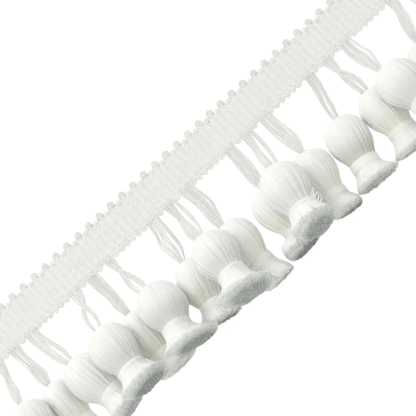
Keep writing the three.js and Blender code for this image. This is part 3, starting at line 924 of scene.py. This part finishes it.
def skirt_bundles(place, settings, rng):
    """Cut yarns of a skirt in rings from the rim inward: points, outward directions, radii, painted shade."""
    found = []
    row = place.row
    waves = int(rng.integers(1 << 30))
    thick = settings.skirt_yarn / MM / 2
    for number, (share, end, splay) in enumerate(cut_rings(row)):
        count = max(FEWEST_ENDS, int(TURN * CUT_RADIUS * row["flare"] * share / CUT_SPACING))
        outer = number < OUTER_RINGS
        stray, uneven, points = RINGS["outer" if outer else "inner"]
        step = rng.uniform(-1, 1, count) * stray
        angle = TURN * (np.arange(count) + step) / count + rng.uniform(0, TURN)
        # The same waves for every ring, so that tufts run through the whole depth of the skirt
        tufts = np.random.default_rng(waves)
        wide = row["flare"] + waver(tufts, angle, TUFT_WAVES, TUFT_SPREAD) + rng.normal(0, END_STRAY, count)
        long = waver(tufts, angle, TUFT_WAVES, TUFT_LENGTH) * share + rng.normal(0, uneven, count)
        ragged = waver(tufts, angle, RAGGED_WAVES, RAGGED_LENGTH) * share ** 2
        long += ragged * (1 - RAGGED_LESS * risen(row))
        longer = longer_by(row, share, angle)[:, None]
        tip = (end + long)[:, None] + longer
        t = np.linspace(0, 1, points)
        # Outer yarns show along their whole length, the others only near their ends, where they splay
        if outer:
            station = row["start"] + (tip - row["start"]) * t
            open_share = opening(row, station, longer)
            reach = NECK_RADIUS + (CUT_RADIUS * wide[:, None] * share - NECK_RADIUS) * open_share
        else:
            station = tip - CUT_LENGTH * (1 - t) * math.cos(splay)
            reach = CUT_RADIUS * wide[:, None] * share - CUT_LENGTH * (1 - t) * math.sin(splay)
        turned = angle[:, None] + rng.normal(0, END_TURN, (count, 1)) * t
        paths = place.at(station, np.maximum(reach - thick, END_LEAST), turned)
        outward = place.outward(turned)
        bloom = END_BLOOM if number else RIM_BLOOM
        radius = np.broadcast_to(thick * (1 + bloom * t ** 3), paths.shape[:2])
        found.append((paths, outward, radius, cut_dark(row, share, turned, outward, t, rng)))
    return found


def skirt_body(place, around):
    """Body of a skirt under its cut yarns, as rings from its throat to the end: points and painted shade."""
    row = place.row
    share = np.sin(np.radians(np.linspace(90, 1, BODY_STEPS)))
    station = row["rim"] - BODY_BELOW_RIM + (row["end"] - row["rim"] - BODY_BELOW_END) * bulge(share)
    radius = (CUT_RADIUS * row["flare"] - BODY_INSIDE) * share
    dark = BODY_DARK * np.interp(share, CUT_SHADE, [1, 0])
    opens = row["start"] + BODY_OPENS * (row["rim"] - row["start"])
    station = np.concatenate([[row["start"], opens], station])[:, None]
    radius = np.concatenate([BODY_THROAT, radius])[:, None]
    dark = np.concatenate([[0, 0], dark])[:, None]
    share = radius / CUT_RADIUS
    points = place.at(station + longer_by(row, share, around), radius, around)
    return points, dark * upper_light(row, share, around)


def hanger_bundles(place, strands, settings, rng):
    """Threads of a hanger, strand by strand: points and radius."""
    row = place.row
    t = np.linspace(0, 1, HANGER_STEPS)
    start = np.array([row["root"], HANGER_ROOT_Y, HANGER_ROOT_Z])
    end = place.at(HANGER_END, 0, 0) + place.side * row["pole"]
    pull = np.linalg.norm(end - start) / 3
    corners = np.array([start, start + (0, -pull, 0), end - place.axis * pull, end])
    weights = np.stack([(1 - t) ** 3, 3 * t * (1 - t) ** 2, 3 * t ** 2 * (1 - t), t ** 3], -1)
    middle = weights @ corners
    thin, thick = (share * settings.hanger_yarn / MM for share in HANGER_RADII)
    found = []
    for threads, beside, width in strands:
        beside, width = spline(np.transpose([beside, width]), len(t)).T
        across = np.linspace(-0.5, 0.5, threads)[:, None]
        # Threads lie side by side over the strand's width, and ride up on each other where it is drawn in
        radius = np.clip(HANGER_CLOSE * width / threads, thin, thick)
        crowd = np.clip(1 - width / (threads * 2 * radius), 0, 1)
        stack = crowd * radius * HANGER_STACK * np.where(np.arange(threads) % 2, 1.0, -1.0)[:, None]
        drift = rng.normal(0, HANGER_DRIFT, (threads, 1))
        drift = drift * np.sin(TURN * t + rng.uniform(0, TURN, (threads, 1)))
        paths = np.repeat(middle[None], threads, axis=0)
        paths[..., 0] += beside + across * np.maximum(width - 2 * radius, HANGER_LEAST) + drift
        paths[..., 2] += stack + rng.normal(0, HANGER_LIFT, (threads, 1)) * np.sin(math.pi * t)
        paths[..., 2] = np.maximum(paths[..., 2], radius)
        found.append((paths, np.broadcast_to(radius, paths.shape[:2])))
    return found


def hair_bundle(place, skirt, rng):
    """Loose fibres that stand out of the cut ends: points and outward directions."""
    ends = np.concatenate([part[0][:, -1] for part in skirt[:HAIR_RINGS]])
    ways = np.concatenate([part[1][:, -1] for part in skirt[:HAIR_RINGS]])
    chosen = rng.integers(0, len(ends), HAIRS)
    out = ways[chosen] * rng.uniform(*HAIR_OUT, (HAIRS, 1))
    along = place.axis * rng.uniform(0, 1, (HAIRS, 1))
    way = unit(out + along + rng.normal(0, HAIR_STRAY, (HAIRS, 3)))
    t = np.linspace(0, 1, HAIR_STEPS)[None, :, None]
    length = rng.uniform(*HAIR_LENGTH, (HAIRS, 1, 1))
    bend = rng.normal(0, HAIR_BEND, (HAIRS, 1, 3)) * t ** 2
    hairs = ends[chosen][:, None] + length * (t * way[:, None] + bend)
    hairs[..., 2] = np.maximum(hairs[..., 2], HAIR_CLEAR)
    return hairs, ways[chosen][:, None]


def frayed_bundle(place, rng):
    """Broken yarns that stand off beside a skirt, bent back to the head: points and outward directions."""
    base = np.array(FRAY_STATIONS)[:, None]
    away = np.array(FRAY_AWAY) * rng.uniform(*FRAY_LONG, base.shape)
    radius = NECK_RADIUS + FRAY_OPEN * opening(place.row, base) + away
    angle = rng.uniform(*FRAY_ANGLES, base.shape) + rng.normal(0, FRAY_STRAY, away.shape)
    return place.at(base - FRAY_BACK * np.maximum(away, 0), radius, angle), place.outward(angle)


def tassel_threads(number, places, settings):
    """All the yarn of one tassel, which gives way to its neighbours and to the table."""
    place = places[number]
    row = place.row
    rng = np.random.default_rng(settings.seed + number)
    neighbours = [places[k] for k in (number - 1, number + 1) if 0 <= k < len(places)]
    planes = [contact_plane(place, other) for other in neighbours]
    around = TURN * np.arange(SKIN_SIDES) / SKIN_SIDES
    head = head_bundle(place, number, settings, rng)
    below = below_head(place, number, around)
    neck = np.array([place.at(station, radius, around) for station, radius in NECK_LINE])
    skirt = skirt_bundles(place, settings, rng)
    body, body_dark = skirt_body(place, around)
    give_way([(head[0], head[2]), (below, BELOW_HEAD_CLEAR)], planes)
    give_way([(part[0], part[2]) for part in skirt] + [(body, BODY_CLEAR)], planes)
    yarn = ThreadMesh()
    # Painted shade on the lower part of a head near its neck, and on a low head painted warm light as from
    # the yarn beside it
    gathered = np.interp(spline(HEAD_LINE, HEAD_STEPS)[:, 0], LOWER_HEAD_PAINT, [0, 1])
    warm = 0.0 if row["rise"] else WARM_LOW_HEAD * gathered
    yarn.tubes(*head, tint=tints(rng, "head", head[0]), deep=row["neck_shade"] * gathered, warm=warm)
    for paths, outward, thick, deep in skirt:
        yarn.tubes(paths, outward, thick, tint=tints(rng, "skirt", paths), deep=deep)
    for paths, thick in hanger_bundles(place, HANGERS[number], settings, rng):
        yarn.tubes(paths, UP, thick, sides=ROUND_SIDES, tint=tints(rng, "hanger", paths), flat=HANGER_FLAT)
    yarn.tubes(*hair_bundle(place, skirt, rng), HAIR_RADIUS, sides=FIBRE_SIDES)
    if number == FRAYED_TASSEL:
        yarn.tubes(*frayed_bundle(place, rng), np.array(FRAY_RADII), tint=FRAY_TINT)
    yarn.skin(below, deep=BELOW_HEAD_DARK)
    yarn.skin(neck, deep=NECK_DARK)
    yarn.skin(body, deep=body_dark)
    return yarn


class TRIM_OT_tassels(bpy.types.Operator):
    """Lays the yarn of every tassel: hanger threads, head and cut skirt."""

    bl_idname = "trim.tassels"
    bl_label = "Tassels"

    def execute(self, context):
        places = all_lying()
        for i in range(len(places)):
            yarn = tassel_threads(i, places, context.scene.trim.tassel)
            label = f"{i + 1:02d}"
            yarn.piece(f"tassel_yarn_{label}", tassel_yarn(), "tassel_yarn", f"tassel_{label}")
        return {"FINISHED"}


class TRIM_OT_ties(bpy.types.Operator):
    """Winds the binding thread around every neck."""

    bl_idname = "trim.ties"
    bl_label = "Neck bindings"

    def execute(self, context):
        settings = context.scene.trim.tassel
        for i, place in enumerate(all_lying()):
            rng = np.random.default_rng(settings.seed + TIE_SEED + i)
            t = np.linspace(0, 1, int(settings.tie_turns * TIE_POINTS))
            angle = TURN * settings.tie_turns * t + rng.uniform(0, TURN)
            station = TIE_ENDS[0] + (TIE_ENDS[1] - TIE_ENDS[0]) * t + waver(rng, angle, (1, 2, 3), TIE_STRAY)
            radius = TIE_RADIUS - TIE_SINK * np.abs(2 * t - 1) ** 4 + waver(rng, angle, (2, 3, 5), TIE_UNEVEN)
            path, outward = place.at(station, radius, angle)[None], place.outward(angle)[None]
            thread = ThreadMesh()
            thread.tubes(path, outward, settings.tie_yarn / MM / 2, sides=ROUND_SIDES, flat=TIE_FLAT)
            label = f"{i + 1:02d}"
            thread.piece(f"neck_binding_{label}", neck_thread(), "neck_binding", f"tie_{label}")
        return {"FINISHED"}


class TRIM_OT_stage(bpy.types.Operator):
    """Sets a plain white table and soft light from beyond the heading."""

    bl_idname = "trim.stage"
    bl_label = "Stage"

    def execute(self, context):
        scene = context.scene
        scene.view_settings.view_transform = "Standard"
        table = bpy.data.meshes.new("table")
        corners = [(-1, -1), (1, -1), (1, 1), (-1, 1)]
        table.from_pydata([(TABLE_HALF * x, TABLE_HALF * y, 0) for x, y in corners], [], [(0, 1, 2, 3)])
        # Matt white laminate, lit from within so that it stays white under the soft light
        white = bpy.data.materials.new("white_laminate")
        white.use_nodes = True
        shader = white.node_tree.nodes["Principled BSDF"]
        looks = {"Base Color": linear(TABLE_SHADE), "Roughness": 0.9,
                 "Emission Color": scene.trim.finish.table, "Emission Strength": 0.85}
        for name, value in looks.items():
            shader.inputs[name].default_value = value
        table.materials.append(white)
        floor = bpy.data.objects.new("table", table)
        scene.collection.objects.link(floor)
        world = bpy.data.worlds.new("soft_room")
        world.use_nodes = True
        room = world.node_tree.nodes["Background"]
        room.inputs["Color"].default_value = linear(ROOM_COLOUR)
        room.inputs["Strength"].default_value = 0.68
        scene.world = world
        for name, (place, size, power) in LAMPS.items():
            lamp = bpy.data.lights.new(name, "AREA")
            lamp.energy = power
            lamp.size = size
            light = bpy.data.objects.new(name, lamp)
            light.location = place
            light.rotation_euler = (Vector(LAMP_AIM) - Vector(place)).to_track_quat("-Z", "Y").to_euler()
            scene.collection.objects.link(light)
        return {"FINISHED"}


class TRIM_PT_sidebar(bpy.types.Panel):
    """Lists the trim's steps and settings."""

    bl_idname = "TRIM_PT_sidebar"
    bl_label = "Tassel fringe trim"
    bl_space_type = "VIEW_3D"
    bl_region_type = "UI"
    bl_category = "Trim"

    def draw(self, context):
        for operator in OPERATORS:
            self.layout.operator(operator.bl_idname)
        for group in ("heading", "tassel", "finish"):
            box = self.layout.box()
            settings = getattr(context.scene.trim, group)
            for name in settings.__annotations__:
                box.prop(settings, name)


OPERATORS = (TRIM_OT_camera, TRIM_OT_heading, TRIM_OT_tassels, TRIM_OT_ties, TRIM_OT_stage)
CLASSES = (HeadingSettings, TasselSettings, FinishSettings, TrimSettings, *OPERATORS, TRIM_PT_sidebar)


def register():
    """Registers the classes and the settings."""
    for cls in CLASSES:
        bpy.utils.register_class(cls)
    bpy.types.Scene.trim = PointerProperty(type=TrimSettings)


def unregister():
    """Removes the settings and the classes."""
    del bpy.types.Scene.trim
    for cls in reversed(CLASSES):
        bpy.utils.unregister_class(cls)


def main():
    """Builds every piece."""
    register()
    bpy.ops.trim.camera()
    bpy.ops.trim.heading()
    bpy.ops.trim.tassels()
    bpy.ops.trim.ties()
    bpy.ops.trim.stage()


if __name__ == "__main__":
    main()
